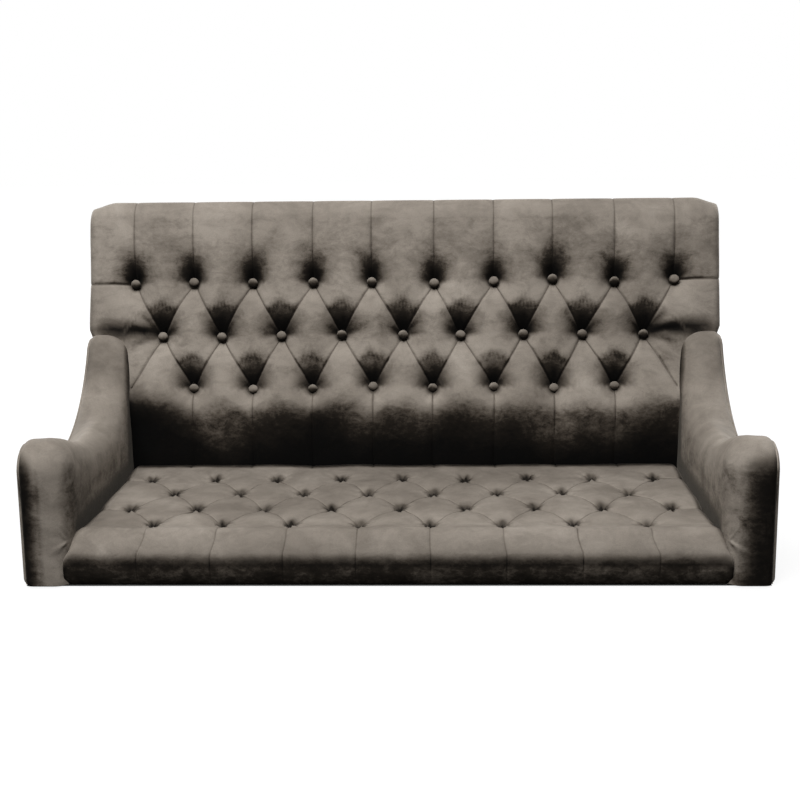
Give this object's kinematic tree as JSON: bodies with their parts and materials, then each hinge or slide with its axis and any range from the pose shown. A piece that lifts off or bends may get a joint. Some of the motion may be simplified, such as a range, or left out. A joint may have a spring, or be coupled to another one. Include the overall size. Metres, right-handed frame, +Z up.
{
  "type": "loveseat",
  "caption": "Tufted velvet loveseat with a high raked button-tufted back, a fixed tufted seat and sweeping padded arms on an upholstered base, ready for legs.",
  "frame": {"origin": "on the floor under the middle of the outer box", "axes": "+X towards the right arm as one faces the back, +Y towards the back, +Z up"},
  "size_m": [1.4, 0.77, 0.6679],
  "materials": {
    "timber": "sawn, unfinished",
    "velvet": "short pile velvet",
    "foam": "open cell foam",
    "webbing": "woven",
    "hessian": "coarse weave",
    "twine": "waxed",
    "dust_cloth": "non-woven",
    "zinc": "zinc plated"
  },
  "bodies": {
    "root": {"front_seat_rail": "timber", "rear_seat_rail": "timber", "right_seat_rail": "timber", "left_seat_rail": "timber", "seat_stretchers": "timber", "corner_blocks": "timber", "right_back_post": "timber", "left_back_post": "timber", "top_back_rail": "timber", "lower_back_rail": "timber", "back_uprights": "timber", "right_arm_post": "timber", "right_arm_rail": "timber", "right_arm_tack_rail": "timber", "left_arm_post": "timber", "left_arm_rail": "timber", "left_arm_tack_rail": "timber", "outer_back_panel": "velvet", "seat_pad": "velvet", "back_pad": "velvet", "back_buttons": "velvet", "right_arm_cover": "velvet", "right_outer_arm_panel": "velvet", "right_arm_welt": "velvet", "left_arm_cover": "velvet", "left_outer_arm_panel": "velvet", "left_arm_welt": "velvet", "seat_foam": "foam", "back_foam": "foam", "right_arm_foam": "foam", "left_arm_foam": "foam", "seat_webbing_long": "webbing", "seat_webbing_cross": "webbing", "back_webbing_upright": "webbing", "back_webbing_cross": "webbing", "seat_hessian": "hessian", "back_hessian": "hessian", "seat_tuft_ties": "twine", "back_button_ties": "twine", "dust_cover": "dust_cloth", "leg_nuts": "zinc"}
  },
  "joints": []
}
